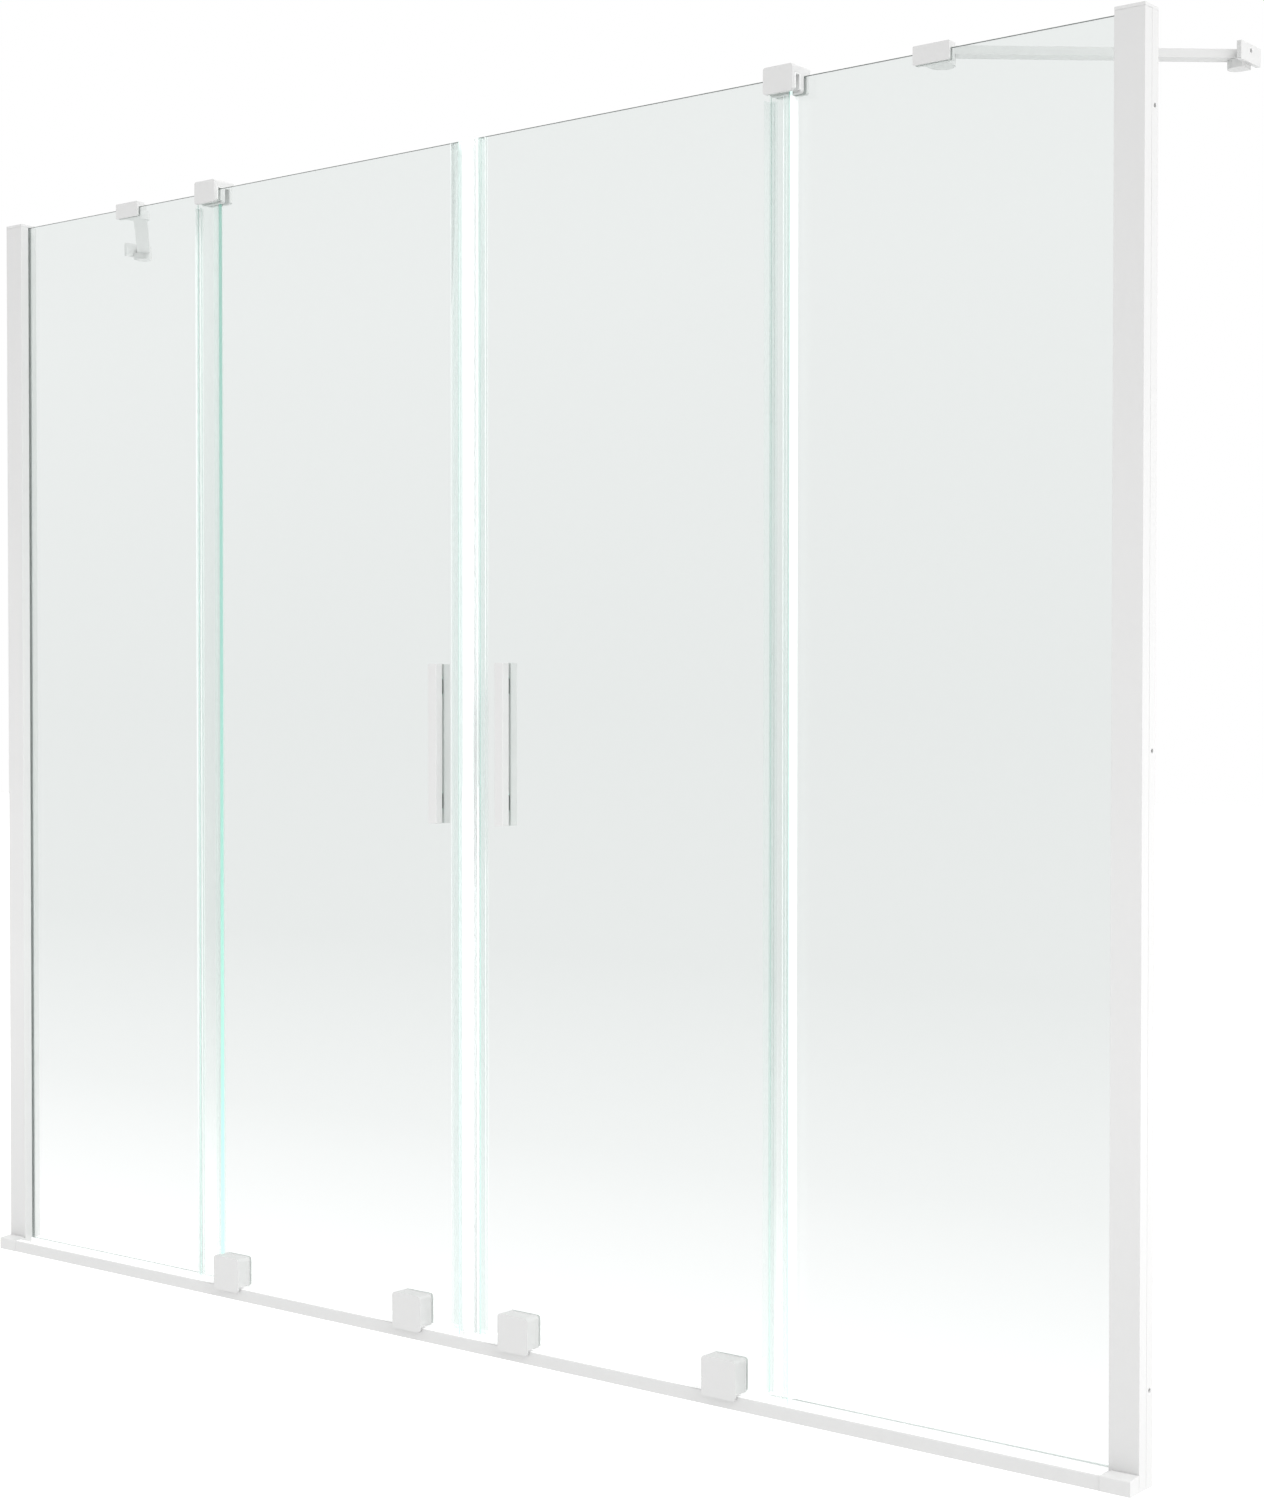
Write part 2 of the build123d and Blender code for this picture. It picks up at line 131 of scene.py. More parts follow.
def makeFloor(look):
    material = bpy.data.materials.new("paleFloor")
    nodes, links = nodesOf(material)
    out = nodes.new("ShaderNodeOutputMaterial")
    path, seen = seenRays(nodes, links)
    matte = nodes.new("ShaderNodeBsdfDiffuse")
    matte.inputs["Color"].default_value = look["floorColor"]
    lift = nodes.new("ShaderNodeEmission")
    scale = nodes.new("ShaderNodeMath")
    scale.operation = "MULTIPLY"
    scale.inputs[1].default_value = look["floorLift"]
    links.new(seen, scale.inputs[0])
    links.new(scale.outputs[0], lift.inputs["Strength"])
    both = nodes.new("ShaderNodeAddShader")
    links.new(matte.outputs[0], both.inputs[0])
    links.new(lift.outputs[0], both.inputs[1])
    hidden = nodes.new("ShaderNodeBsdfTransparent")
    floorOrRoom = nodes.new("ShaderNodeMixShader")  # the panes mirror the room, not the floor's edge
    links.new(path.outputs["Is Glossy Ray"], floorOrRoom.inputs[0])
    links.new(both.outputs[0], floorOrRoom.inputs[1])
    links.new(hidden.outputs[0], floorOrRoom.inputs[2])
    links.new(floorOrRoom.outputs[0], out.inputs["Surface"])
    mesh = bpy.data.meshes.new("studioFloor")
    bm = bmesh.new()
    bmesh.ops.create_grid(bm, x_segments=1, y_segments=1, size=look["floorSize"])
    bmesh.ops.translate(bm, verts=bm.verts, vec=(0, 0, -look["floorDrop"]))
    bm.to_mesh(mesh)
    bm.free()
    floor = bpy.data.objects.new("studioFloor", mesh)
    floor.data.materials.append(material)
    bpy.context.collection.objects.link(floor)


def makeLamp(name, power, source, soft):
    lamp = bpy.data.lights.new(name, "SUN")
    lamp.energy = power
    lamp.angle = math.radians(soft)
    seat = bpy.data.objects.new(name, lamp)
    bpy.context.collection.objects.link(seat)
    seat.rotation_euler = Vector(source).to_track_quat("Z", "Y").to_euler()


makeWorld(studio)
makeFloor(studio)
makeLamp("keyLamp", studio["keyPower"], studio["keyFrom"], studio["keySoft"])
bpy.context.scene.view_settings.view_transform = "Standard"
print("studio lit")


# Finishes, all patterned on Object coordinates
grainDepth = 0.05 * mm
coatIor = 1.46


def startMaterial(name):
    material = bpy.data.materials.new(name)
    nodes, links = nodesOf(material)
    out = nodes.new("ShaderNodeOutputMaterial")
    skin = nodes.new("ShaderNodeBsdfPrincipled")
    links.new(skin.outputs[0], out.inputs["Surface"])
    return material, nodes, links, skin, out


def objectNoise(nodes, links, scale, detail=3.0, stretch=(1, 1, 1)):
    coord = nodes.new("ShaderNodeTexCoord")
    place = nodes.new("ShaderNodeMapping")
    place.inputs["Scale"].default_value = stretch
    noise = nodes.new("ShaderNodeTexNoise")
    noise.inputs["Scale"].default_value = scale
    noise.inputs["Detail"].default_value = detail
    links.new(coord.outputs["Object"], place.inputs["Vector"])
    links.new(place.outputs[0], noise.inputs["Vector"])
    return noise


def ramp(nodes, links, source, low, high):
    mix = nodes.new("ShaderNodeMix")
    mix.data_type = "RGBA"
    mix.inputs["A"].default_value = (*low, 1)
    mix.inputs["B"].default_value = (*high, 1)
    links.new(source, mix.inputs["Factor"])
    return mix.outputs["Result"]


def spread(nodes, links, source, low, high):
    span = nodes.new("ShaderNodeMapRange")
    span.inputs["To Min"].default_value = low
    span.inputs["To Max"].default_value = high
    links.new(source, span.inputs["Value"])
    return span.outputs["Result"]


def relief(nodes, links, height, strength, distance, normal=None):
    bump = nodes.new("ShaderNodeBump")
    bump.inputs["Strength"].default_value = strength
    bump.inputs["Distance"].default_value = distance
    links.new(height, bump.inputs["Height"])
    if normal:
        links.new(normal, bump.inputs["Normal"])
    return bump.outputs["Normal"]


def heightRamp(nodes, links, stops):
    coord = nodes.new("ShaderNodeTexCoord")
    axes = nodes.new("ShaderNodeSeparateXYZ")
    links.new(coord.outputs["Object"], axes.inputs[0])
    share = nodes.new("ShaderNodeMath")
    share.operation = "DIVIDE"
    share.inputs[1].default_value = stops[-1][0]
    links.new(axes.outputs["Z"], share.inputs[0])
    band = nodes.new("ShaderNodeValToRGB")
    while len(band.color_ramp.elements) < len(stops):
        band.color_ramp.elements.new(0.5)
    for element, (height, color) in zip(band.color_ramp.elements, stops):
        element.position = height / stops[-1][0]
        element.color = (*color, 1)
    links.new(share.outputs[0], band.inputs["Fac"])
    return band.outputs["Color"]


def tinted(nodes, links, first, second):
    blend = nodes.new("ShaderNodeMix")
    blend.data_type = "RGBA"
    blend.blend_type = "MULTIPLY"
    blend.inputs["Factor"].default_value = 1.0
    links.new(first, blend.inputs["A"])
    links.new(second, blend.inputs["B"])
    return blend.outputs["Result"]


def grey(value):
    return (value, value, value * 0.998)


powderCoat = {
    "low": grey(0.965),
    "high": grey(1.0),
    # the white's own tone, with painted light: lightest near 0.4 m and darker towards the foot and the
    # top, for how the light falls at each height
    "height": [
        (0.0, grey(0.635)),
        (0.4, grey(0.68)),
        (0.75, grey(0.655)),
        (1.15, grey(0.625)),
        (1.5, grey(0.60)),
    ],
    "grain": 2600.0,
    "cloud": 6.0,
    "roughLow": 0.36,
    "roughHigh": 0.46,
    "bump": 0.06,
}
mouldedWhite = {
    "low": grey(0.98),
    "high": grey(1.0),
    # the white's own tone, with painted light: lighter near 0.4 m and darker towards the top, for how the
    # light falls at each height
    "height": [(0.0, grey(0.635)), (0.4, grey(0.675)), (1.15, grey(0.63)), (1.5, grey(0.605))],
    "grain": 900.0,
    "cloud": 11.0,
    "roughLow": 0.28,
    "roughHigh": 0.38,
    "bump": 0.03,
}
# painted light: a full-white copy of the white finish, brighter than the lighting leaves the magnet
# strips and the carriage back plates
paintedLightWhite = {
    "low": grey(0.97),
    "high": grey(0.99),
    "height": [(0.0, grey(1.0)), (1.5, grey(1.0))],
    "grain": 700.0,
    "cloud": 9.0,
    "roughLow": 0.35,
    "roughHigh": 0.45,
    "bump": 0.03,
}
nylon = {
    "low": grey(0.93),
    "high": grey(1.0),
    "height": [(0.0, grey(0.72)), (1.5, grey(0.72))],
    "grain": 1300.0,
    "cloud": 40.0,
    "roughLow": 0.42,
    "roughHigh": 0.55,
    "bump": 0.08,
}


def makeWhite(name, look):
    material, nodes, links, skin, _ = startMaterial(name)
    grain = objectNoise(nodes, links, look["grain"], 2.0)
    cloud = objectNoise(nodes, links, look["cloud"], 2.0)
    mottle = ramp(nodes, links, cloud.outputs["Fac"], look["low"], look["high"])
    # own tone times painted light by height; the tone is flat for the rollers and the full-white copy
    toneAndHeightShade = heightRamp(nodes, links, look["height"])
    links.new(tinted(nodes, links, toneAndHeightShade, mottle), skin.inputs["Base Color"])
    rough = spread(nodes, links, cloud.outputs["Fac"], look["roughLow"], look["roughHigh"])
    links.new(rough, skin.inputs["Roughness"])
    links.new(relief(nodes, links, grain.outputs["Fac"], look["bump"], grainDepth), skin.inputs["Normal"])
    skin.inputs["IOR"].default_value = coatIor
    return material


clearGlass = {
    # the glass's own grey-green tint, with painted light: the tint rises to full white towards the foot,
    # for the lighter look of the panes low down
    "face": [
        (0.00, (1.0, 1.0, 1.0)),
        (0.08, (0.985, 0.99, 0.99)),
        (0.21, (0.893, 0.906, 0.902)),
        (0.27, (0.845, 0.860, 0.855)),
        (0.50, (0.752, 0.770, 0.764)),
        (0.80, (0.743, 0.762, 0.756)),
        (1.30, (0.778, 0.797, 0.791)),
        (1.50, (0.778, 0.797, 0.791)),
    ],
    # the glass's own green, with painted light: bright at the foot and dark towards the top; the top
    # edges (crown) go near black as painted shade
    "edge": [
        (0.00, (0.50, 0.97, 0.86)),
        (0.30, (0.36, 0.90, 0.74)),
        (0.90, (0.19, 0.55, 0.46)),
        (1.50, (0.105, 0.34, 0.27)),
    ],
    "flatEdge": [
        (0.00, (0.50, 0.97, 0.86)),
        (0.30, (0.36, 0.90, 0.74)),
        (0.90, (0.19, 0.55, 0.46)),
        (1.50, (0.105, 0.34, 0.27)),
    ],
    "crown": [(0.00, (0.90, 1.0, 0.97)), (0.30, (0.85, 1.0, 0.95)), (1.40, (0.001, 0.014, 0.009))],
    "edgeGlow": 0.12,
    "grind": 700.0,
    "grindDeep": 0.08,
    "through": (0.93, 0.97, 0.955),
    "edgeDull": 0.4,
    "edgeShine": 0.1,
    "ior": 1.5,
    "film": 3.0,
    "veil": (0.93, 1.0, 0.97),
    "veilGlow": 0.070,
    "shade": (0.80, 0.82, 0.81),
    "flatFace": 0.85,
}


doorGlass = {
    **clearGlass,
    "flatEdge": [(0.00, (0.90, 1.00, 0.98)), (0.30, (0.86, 0.96, 0.94)), (1.50, (0.70, 0.82, 0.79))],
}


def facing(nodes, links, axis, limit):
    geometry = nodes.new("ShaderNodeNewGeometry")
    axes = nodes.new("ShaderNodeSeparateXYZ")
    links.new(geometry.outputs["True Normal"], axes.inputs[0])
    size = nodes.new("ShaderNodeMath")
    size.operation = "ABSOLUTE"
    links.new(axes.outputs[axis], size.inputs[0])
    over = nodes.new("ShaderNodeMath")
    over.operation = "GREATER_THAN"
    over.inputs[1].default_value = limit
    links.new(size.outputs[0], over.inputs[0])
    return over.outputs[0]


def mixed(nodes, links, share, first, second):
    blend = nodes.new("ShaderNodeMixShader")
    links.new(share, blend.inputs[0])
    links.new(first, blend.inputs[1])
    links.new(second, blend.inputs[2])
    return blend.outputs[0]


def lightRays(nodes, links):
    path = nodes.new("ShaderNodeLightPath")
    light = nodes.new("ShaderNodeMath")
    light.operation = "MAXIMUM"
    links.new(path.outputs["Is Shadow Ray"], light.inputs[0])
    links.new(path.outputs["Is Diffuse Ray"], light.inputs[1])
    return light.outputs[0]


def makeGlass(look, name="clearToughenedGlass"):
    material, nodes, links, skin, out = startMaterial(name)
    links.new(heightRamp(nodes, links, look["face"]), skin.inputs["Base Color"])
    skin.inputs["Transmission Weight"].default_value = 1.0
    skin.inputs["IOR"].default_value = look["ior"]
    film = objectNoise(nodes, links, look["film"], 2.0)
    links.new(spread(nodes, links, film.outputs["Fac"], 0.0, 0.012), skin.inputs["Roughness"])
    skin.inputs["Emission Color"].default_value = (*look["veil"], 1)  # the room's faint mirror image
    skin.inputs["Emission Strength"].default_value = look["veilGlow"]
    # the ground edges are the faces that don't look along Y; their green is the glass's own colour, while
    # their lightness by height, bright at the foot and darkest on the top edges, and their glow are
    # painted light
    rim = nodes.new("ShaderNodeBsdfPrincipled")
    crown = nodes.new("ShaderNodeMix")
    crown.data_type = "RGBA"
    links.new(facing(nodes, links, "Z", look["flatFace"]), crown.inputs["Factor"])
    ends = nodes.new("ShaderNodeMix")  # the arrises are greener than the flat of the edge
    ends.data_type = "RGBA"
    links.new(facing(nodes, links, "X", look["flatFace"]), ends.inputs["Factor"])
    links.new(heightRamp(nodes, links, look["edge"]), ends.inputs["A"])
    links.new(heightRamp(nodes, links, look["flatEdge"]), ends.inputs["B"])
    links.new(ends.outputs["Result"], crown.inputs["A"])
    links.new(heightRamp(nodes, links, look["crown"]), crown.inputs["B"])
    links.new(crown.outputs["Result"], rim.inputs["Base Color"])
    links.new(crown.outputs["Result"], rim.inputs["Emission Color"])
    rim.inputs["Emission Strength"].default_value = look["edgeGlow"]
    rim.inputs["Roughness"].default_value = look["edgeDull"]
    rim.inputs["Specular IOR Level"].default_value = look["edgeShine"]
    grind = objectNoise(nodes, links, look["grind"], 2.0, (1, 1, 0.2))
    ground = relief(nodes, links, grind.outputs["Fac"], look["grindDeep"], grainDepth)
    links.new(ground, rim.inputs["Normal"])
    # an end edge that is seen from inside its pane lets the view straight through
    inside = nodes.new("ShaderNodeNewGeometry")
    passing = nodes.new("ShaderNodeMath")
    passing.operation = "MULTIPLY"
    links.new(inside.outputs["Backfacing"], passing.inputs[0])
    links.new(facing(nodes, links, "X", look["flatFace"]), passing.inputs[1])
    through = nodes.new("ShaderNodeBsdfTransparent")
    through.inputs["Color"].default_value = (*look["through"], 1)
    edge = mixed(nodes, links, passing.outputs[0], rim.outputs[0], through.outputs[0])
    face = mixed(nodes, links, facing(nodes, links, "Y", look["flatFace"]), edge, skin.outputs[0])
    # lamps and the room's light shine through the panes
    clear = nodes.new("ShaderNodeBsdfTransparent")
    clear.inputs["Color"].default_value = (*look["shade"], 1)
    links.new(mixed(nodes, links, lightRays(nodes, links), face, clear.outputs[0]), out.inputs["Surface"])
    return material


clearSeal = {
    "through": (0.97, 0.99, 0.985),
    "body": (0.97, 0.99, 0.985),
    "milk": 0.03,
    "milkEdge": 0.30,
    "roughLow": 0.12,
    "roughHigh": 0.3,
    "draw": 240.0,
    "drawDeep": 0.02,
    "slant": 0.35,
    "light": (0.97, 0.98, 0.98),
    "web": 0.10,
}


def makeClearSeal(look, name="clearSealPlastic"):
    material, nodes, links, skin, out = startMaterial(name)
    draw = objectNoise(nodes, links, look["draw"], 2.0, (1, 1, 0.02))
    skin.inputs["Base Color"].default_value = (*look["body"], 1)
    rough = spread(nodes, links, draw.outputs["Fac"], look["roughLow"], look["roughHigh"])
    links.new(rough, skin.inputs["Roughness"])
    drawn = relief(nodes, links, draw.outputs["Fac"], look["drawDeep"], grainDepth)
    links.new(drawn, skin.inputs["Normal"])
    clear = nodes.new("ShaderNodeBsdfTransparent")
    clear.inputs["Color"].default_value = (*look["through"], 1)
    slant = nodes.new("ShaderNodeLayerWeight")
    slant.inputs["Blend"].default_value = look["slant"]
    milk = spread(nodes, links, slant.outputs["Facing"], look["milk"], look["milkEdge"])
    web = nodes.new("ShaderNodeMath")  # the web over the glass edge is thicker, so milkier
    web.operation = "MULTIPLY"
    web.inputs[1].default_value = look["web"]
    links.new(facing(nodes, links, "X", clearGlass["flatFace"]), web.inputs[0])
    cloudy = nodes.new("ShaderNodeMath")
    cloudy.operation = "MAXIMUM"
    links.new(milk, cloudy.inputs[0])
    links.new(web.outputs[0], cloudy.inputs[1])
    lit = nodes.new("ShaderNodeBsdfTransparent")
    lit.inputs["Color"].default_value = (*look["light"], 1)
    seal = mixed(nodes, links, cloudy.outputs[0], clear.outputs[0], skin.outputs[0])
    links.new(mixed(nodes, links, lightRays(nodes, links), seal, lit.outputs[0]), out.inputs["Surface"])
    return material


stainless = {
    "color": (0.62, 0.63, 0.64),
    "dull": 0.86,
    "lay": 1400.0,
    "layDeep": 0.1,
    "layDepth": 0.03,
    "roughLow": 0.22,
    "roughHigh": 0.4,
}


def makeStainless(look):
    material, nodes, links, skin, _ = startMaterial("stainlessFixings")
    skin.inputs["Metallic"].default_value = 1.0
    turned = objectNoise(nodes, links, look["lay"], 2.0, (1, 0.05, 1))
    dull = tuple(part * look["dull"] for part in look["color"])
    links.new(ramp(nodes, links, turned.outputs["Fac"], dull, look["color"]), skin.inputs["Base Color"])
    rough = spread(nodes, links, turned.outputs["Fac"], look["roughLow"], look["roughHigh"])
    links.new(rough, skin.inputs["Roughness"])
    fine = relief(nodes, links, turned.outputs["Fac"], look["layDeep"], look["layDepth"] * mm)
    links.new(fine, skin.inputs["Normal"])
    return material


darkBush = {
    "low": (0.018, 0.03, 0.028),
    "high": (0.035, 0.055, 0.05),
    "grain": 900.0,
    "roughLow": 0.5,
    "roughHigh": 0.7,
    "bump": 0.2,
}


def makeDarkBush(look):
    material, nodes, links, skin, _ = startMaterial("darkBushRubber")
    grain = objectNoise(nodes, links, look["grain"], 3.0)
    color = ramp(nodes, links, grain.outputs["Fac"], look["low"], look["high"])
    links.new(color, skin.inputs["Base Color"])
    rough = spread(nodes, links, grain.outputs["Fac"], look["roughLow"], look["roughHigh"])
    links.new(rough, skin.inputs["Roughness"])
    links.new(relief(nodes, links, grain.outputs["Fac"], look["bump"], grainDepth), skin.inputs["Normal"])
    return material


finishes = {
    "white_metal": makeWhite("whitePowderCoat", powderCoat),
    "white_plastic": makeWhite("mouldedWhitePlastic", mouldedWhite),
    "clear_glass": makeGlass(clearGlass),
    "clear_seal": makeClearSeal(clearSeal),
    "roller_plastic": makeWhite("rollerNylon", nylon),
    "steel": makeStainless(stainless),
    "dark_rubber": makeDarkBush(darkBush),
}
# painted light: the magnet strips and the carriage back plates take the full-white copy, so they show
# brighter than their shade
stripPaintedLight = makeWhite("magnetStripPaintedLight", paintedLightWhite)
milkySeal = makeClearSeal({**clearSeal, "web": 0.80}, "milkySealPlastic")
railTroughLit = makeWhite("railPowderCoatTroughLight", powderCoat)
platePaintedLight = makeWhite("backplatePaintedLight", paintedLightWhite)
doorPane = makeGlass(doorGlass, "doorToughenedGlass")
slotOf = {part["node"]: part["material_slot"] for part in frame["record"]["subparts"]}
for nodeName, piece in frame["nodes"].items():
    piece.data.materials.clear()
    finish = finishes[slotOf[nodeName]]
    if nodeName.startswith("magnet_strip"):
        finish = stripPaintedLight
    if nodeName.startswith(("magnet_holder", "door_edge_seal")):
        finish = milkySeal
    if nodeName == "bottom_rail":
        finish = railTroughLit
    if nodeName.startswith("carriage_backplates"):
        finish = platePaintedLight
    if nodeName.startswith("door_glass"):
        finish = doorPane
    piece.data.materials.append(finish)


# painted light: a white emission glow inside the rail trough, between its front and back walls and above
# its floor
def brightenTrough(material, look):
    tree = material.node_tree
    nodes, links = tree.nodes, tree.links
    skin = next(node for node in nodes if node.type == "BSDF_PRINCIPLED")
    coord = nodes.new("ShaderNodeTexCoord")
    axes = nodes.new("ShaderNodeSeparateXYZ")
    links.new(coord.outputs["Object"], axes.inputs[0])
    glow = None
    limits = (("Y", "GREATER_THAN", "front"), ("Y", "LESS_THAN", "back"), ("Z", "GREATER_THAN", "foot"))
    for axis, test, limit in limits:
        within = nodes.new("ShaderNodeMath")
        within.operation = test
        within.inputs[1].default_value = look[limit] * mm
        links.new(axes.outputs[axis], within.inputs[0])
        share = nodes.new("ShaderNodeMath")
        share.operation = "MULTIPLY"
        share.inputs[1].default_value = look["glow"]
        links.new(within.outputs[0], share.inputs[0])
        if glow:
            links.new(glow, share.inputs[1])
        glow = share.outputs[0]
    links.new(glow, skin.inputs["Emission Strength"])
    skin.inputs["Emission Color"].default_value = (1, 1, 1, 1)


trough = {"front": -17.5, "back": 29.0, "foot": 3.5, "glow": 0.45}  # light pools between the white walls
brightenTrough(railTroughLit, trough)
print("finishes given to", len(slotOf), "nodes")

# The cut and moulded pieces get small rounded edges, as copies of their CAD nodes
softEdges = {
    "wall_channel": 0.5,
    "cover_profile": 0.5,
    "profile_cap": 0.3,
    "bottom_rail": 0.5,
    "rail_end_cap": 0.4,
    "guide_block": 0.6,
    "guide_liner": 0.3,
    "brace_clamp": 0.6,
    "carriage_backplates": 0.0,
    "handle_inner": 0.0,
}
edgeStyle = {"weld": 0.002, "flat": 1.0, "sharp": 40.0, "rows": 2, "crease": 50.0}
# a hair behind the pane that they are seen through
offGlass = {"carriage_backplates": 0.12, "handle_inner": 0.12}
bodyOf = {node: body for body, nodes in frame["record"]["behaviour"]["bodies"].items() for node in nodes}


def softenNode(nodeName, width, style):
    source = frame["nodes"][nodeName]
    bm = bmesh.new()
    bm.from_mesh(source.data)
    bmesh.ops.remove_doubles(bm, verts=bm.verts, dist=style["weld"] * mm)
    flat = math.radians(style["flat"])
    bmesh.ops.dissolve_limit(bm, angle_limit=flat, verts=bm.verts, edges=bm.edges)
    limit = math.radians(style["sharp"])
    sharp = [edge for edge in bm.edges if width and edge.is_manifold and edge.calc_face_angle() > limit]
    bmesh.ops.bevel(
        bm,
        geom=sharp,
        offset=width * mm,
        offset_type="OFFSET",
        affect="EDGES",
        segments=style["rows"],
        profile=0.5,
        material=-1,
        clamp_overlap=True,
    )
    gap = next((offGlass[key] for key in offGlass if nodeName.startswith(key)), 0)
    bmesh.ops.translate(bm, verts=bm.verts, vec=(0, gap * mm, 0))
    for face in bm.faces:
        face.smooth = True
    mesh = bpy.data.meshes.new(nodeName + "Soft")
    bm.to_mesh(mesh)
    bm.free()
    mesh.set_sharp_from_angle(angle=math.radians(style["crease"]))
    mesh.materials.append(source.data.materials[0])
    piece = bpy.data.objects.new(nodeName + "Soft", mesh)
    bpy.context.collection.objects.link(piece)
    even = piece.modifiers.new("evenNormals", "WEIGHTED_NORMAL")
    even.weight = 100
    even.keep_sharp = True
    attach(piece, bodyOf[nodeName])
    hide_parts(nodeName)
    return piece


softened = 0
for nodeName in sorted(frame["nodes"]):
    width = next((softEdges[key] for key in softEdges if nodeName.startswith(key)), None)
    if width is not None:
        softenNode(nodeName, width, edgeStyle)
        softened += 1
print("rounded edges on", softened, "pieces")


def addPiece(name, bm, material, body):
    bmesh.ops.recalc_face_normals(bm, faces=bm.faces)
    mesh = bpy.data.meshes.new(name)
    bm.to_mesh(mesh)
    bm.free()
    mesh.materials.append(material)
    piece = bpy.data.objects.new(name, mesh)
    bpy.context.collection.objects.link(piece)
    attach(piece, body)
    return piece


# Fine ribs drawn along the faces of the clear seals
sealRibs = {"wide": 0.6, "proud": 0.22, "round": 0.1, "inset": 1.0, "endGap": 0.5}
ribPlan = {
    "magnet_holder": {"front": 3, "back": 3, "step": 2.6},
    "door_edge_seal": {"front": 2, "back": 0, "step": 4.0},
    "fixed_edge_seal": {"front": 0, "back": 2, "step": 4.0},
}


def ribAt(bm, x, y, low, high, look):
    made = bmesh.ops.create_cube(bm, size=1)["verts"]
    tall = high - low - 2 * look["endGap"] * mm
    bmesh.ops.scale(bm, verts=made, vec=(look["wide"] * mm, 2 * look["proud"] * mm, tall))
    bmesh.ops.translate(bm, verts=made, vec=(x, y, (low + high) / 2))
    upright = {edge for vert in made for edge in vert.link_edges}
    upright = [edge for edge in upright if abs((edge.verts[0].co - edge.verts[1].co).z) > tall / 2]
    bmesh.ops.bevel(
        bm,
        geom=upright,
        offset=look["round"] * mm,
        affect="EDGES",
        segments=2,
        profile=0.5,
        material=-1,
    )


def addSealRibs(nodeName, plan, look, material):
    low, high = (Vector(corner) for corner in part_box(nodeName))
    outward = -1 if nodeName.endswith("left") else 1
    first = high.x if outward < 0 else low.x
    bm = bmesh.new()
    for face, y in (("front", low.y), ("back", high.y)):
        for count in range(plan[face]):
            x = first + outward * (look["inset"] + count * plan["step"]) * mm
            ribAt(bm, x, y, low.z, high.z, look)
    addPiece(nodeName + "Ribs", bm, material, bodyOf[nodeName])


ribSeal = makeClearSeal({**clearSeal, "milk": 0.30, "milkEdge": 0.75}, "clearSealRib")
for kind, plan in ribPlan.items():
    for side in ("left", "right"):
        addSealRibs(kind + "_" + side, plan, sealRibs, ribSeal)
print("seal ribs drawn")

# Screws with hexagon sockets, in place of the plain CAD ones
screwLooks = {
    "guide_screws": {"headWide": 0.0, "headTall": 0.0, "socket": 1.25, "deep": 1.6, "edge": 0.3},
    "brace_screws": {"headWide": 0.0, "headTall": 0.0, "socket": 1.25, "deep": 1.6, "edge": 0.3},
    "carriage_screws_left": {"headWide": 3.6, "headTall": 1.6, "socket": 1.5, "deep": 1.1, "edge": 0.35},
    "carriage_screws_right": {"headWide": 3.6, "headTall": 1.6, "socket": 1.5, "deep": 1.1, "edge": 0.35},
}
screwStyle = {"sides": 36, "shank": 2.0, "grub": 2.5, "near": 1e-6}


def islandBoxes(nodeName):
    bm = bmesh.new()
    bm.from_mesh(frame["nodes"][nodeName].data)
    bmesh.ops.remove_doubles(bm, verts=bm.verts, dist=edgeStyle["weld"] * mm)
    left = set(bm.verts)
    boxes = []
    while left:
        grown = [left.pop()]
        island = list(grown)
        while grown:
            vert = grown.pop()
            for edge in vert.link_edges:
                other = edge.other_vert(vert)
                if other in left:
                    left.remove(other)
                    grown.append(other)
                    island.append(other)
        low = Vector([min(vert.co[axis] for vert in island) for axis in range(3)])
        high = Vector([max(vert.co[axis] for vert in island) for axis in range(3)])
        boxes.append((low, high))
    bm.free()
    return sorted(boxes, key=lambda box: (box[0].x, box[0].z))


def barAlongY(bm, radius, x, z, start, end, sides):
    made = bmesh.ops.create_cone(
        bm, cap_ends=True, segments=sides, radius1=radius, radius2=radius, depth=end - start
    )["verts"]
    bmesh.ops.rotate(bm, verts=made, matrix=Matrix.Rotation(math.radians(-90), 3, "X"))
    bmesh.ops.translate(bm, verts=made, vec=(x, (start + end) / 2, z))
    return made


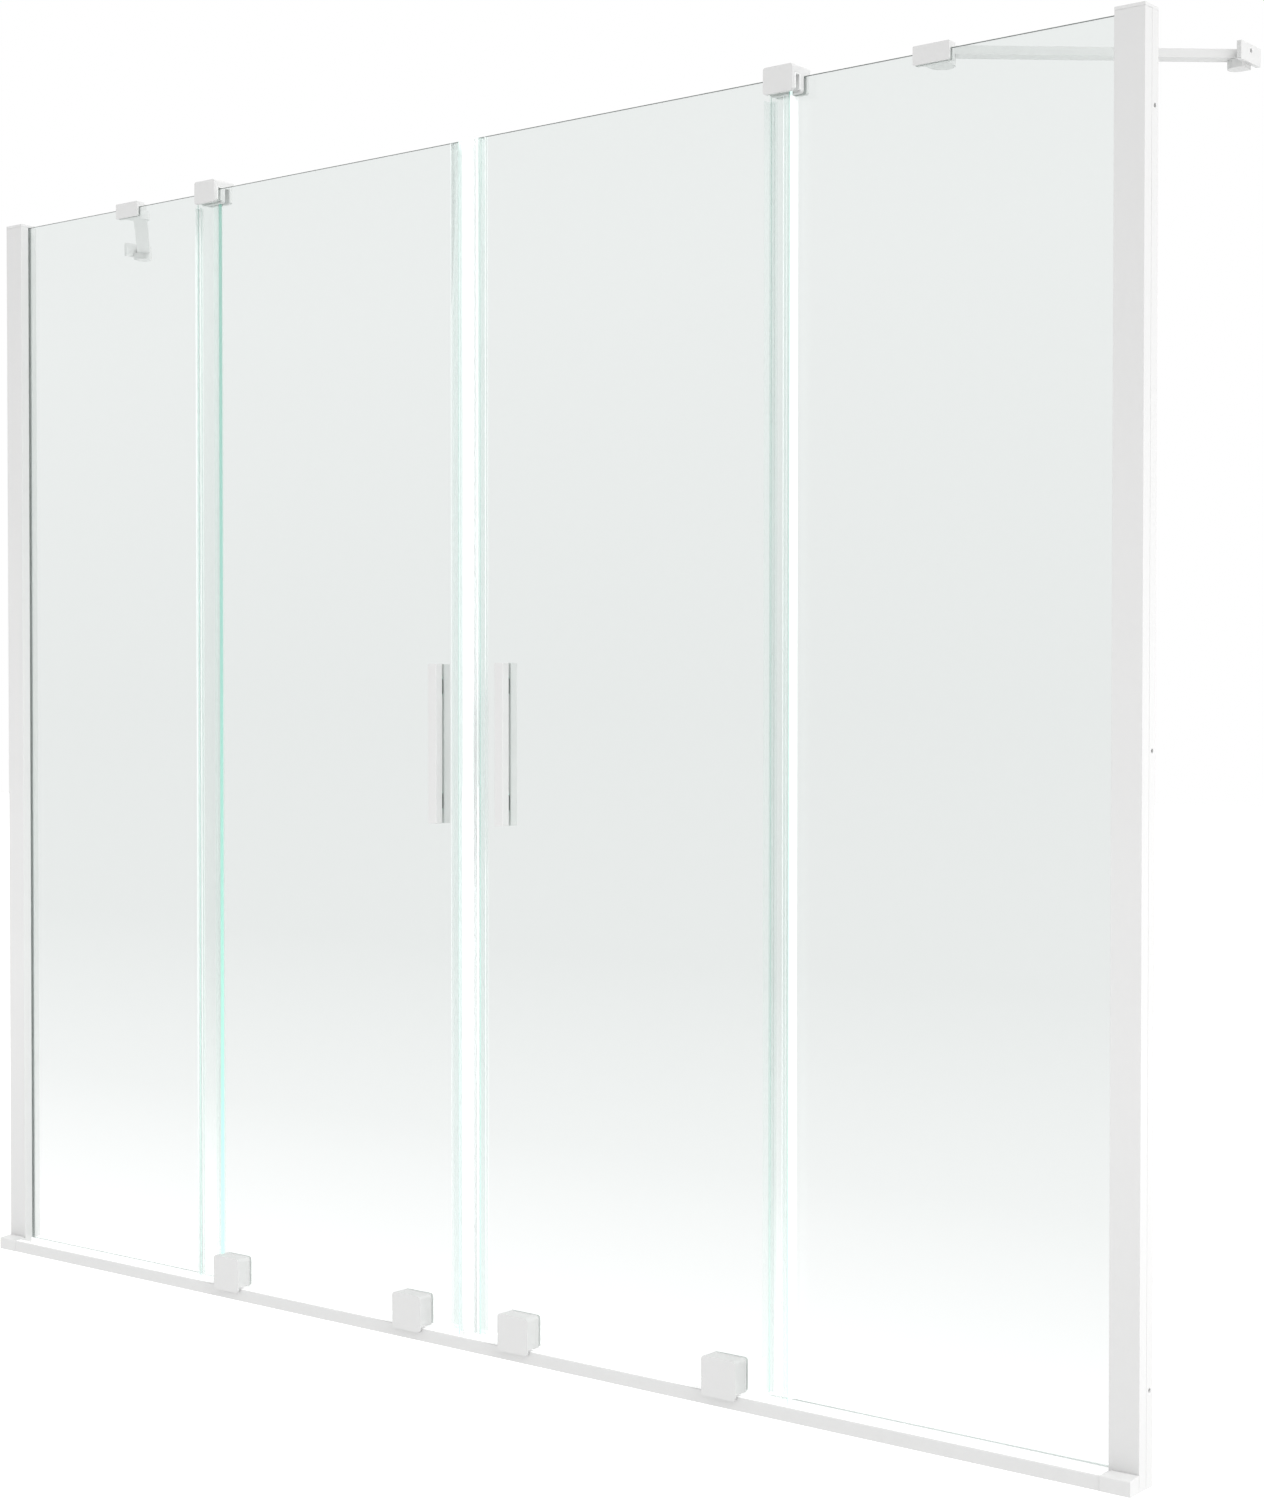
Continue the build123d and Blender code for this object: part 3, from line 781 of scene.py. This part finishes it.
def cutSocket(bm, made, end, look, near):
    faces = {face for vert in made for face in vert.link_faces}
    cap = next(face for face in faces if face.calc_center_median().y > end - near)
    bmesh.ops.bevel(
        bm,
        geom=list(cap.edges),
        offset=look["edge"] * mm,
        affect="EDGES",
        segments=2,
        profile=0.5,
        material=-1,
    )
    ends = [face for face in bm.faces if face.calc_center_median().y > end - near]
    cap = max(ends, key=lambda face: face.calc_area())
    middle = cap.calc_center_median()
    outline = list(cap.edges)
    bmesh.ops.delete(bm, geom=[cap], context="FACES_ONLY")
    hexagon = bmesh.ops.create_circle(bm, cap_ends=False, segments=6, radius=look["socket"] * mm)["verts"]
    bmesh.ops.rotate(bm, verts=hexagon, matrix=Matrix.Rotation(math.radians(-90), 3, "X"))
    bmesh.ops.translate(bm, verts=hexagon, vec=middle)
    inner = list({edge for vert in hexagon for edge in vert.link_edges})
    bmesh.ops.bridge_loops(bm, edges=outline + inner)
    sunk = bmesh.ops.extrude_edge_only(bm, edges=inner)["geom"]
    lower = [part for part in sunk if isinstance(part, bmesh.types.BMVert)]
    bmesh.ops.translate(bm, verts=lower, vec=(0, -look["deep"] * mm, 0))
    edges = [part for part in sunk if isinstance(part, bmesh.types.BMEdge)]
    floorEdges = [edge for edge in edges if set(edge.verts) <= set(lower)]
    bmesh.ops.edgeloop_fill(bm, edges=floorEdges)


def addSocketScrews(nodeName, look, style):
    whole = bmesh.new()
    for low, high in islandBoxes(nodeName):
        x = (low.x + high.x) / 2
        z = (low.z + high.z) / 2
        single = bmesh.new()
        if look["headWide"]:
            neck = high.y - look["headTall"] * mm
            barAlongY(single, style["shank"] * mm, x, z, low.y, neck, style["sides"])
            made = barAlongY(single, look["headWide"] * mm, x, z, neck, high.y, style["sides"])
        else:
            made = barAlongY(single, style["grub"] * mm, x, z, low.y, high.y, style["sides"])
        cutSocket(single, made, high.y, look, style["near"])
        bmesh.ops.recalc_face_normals(single, faces=single.faces)
        part = bpy.data.meshes.new("screwPart")
        single.to_mesh(part)
        single.free()
        whole.from_mesh(part)
        bpy.data.meshes.remove(part)
    piece = addPiece(nodeName + "Sockets", whole, finishes["steel"], bodyOf[nodeName])
    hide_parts(nodeName)


for nodeName, look in screwLooks.items():
    addSocketScrews(nodeName, look, screwStyle)
print("socket screws made")
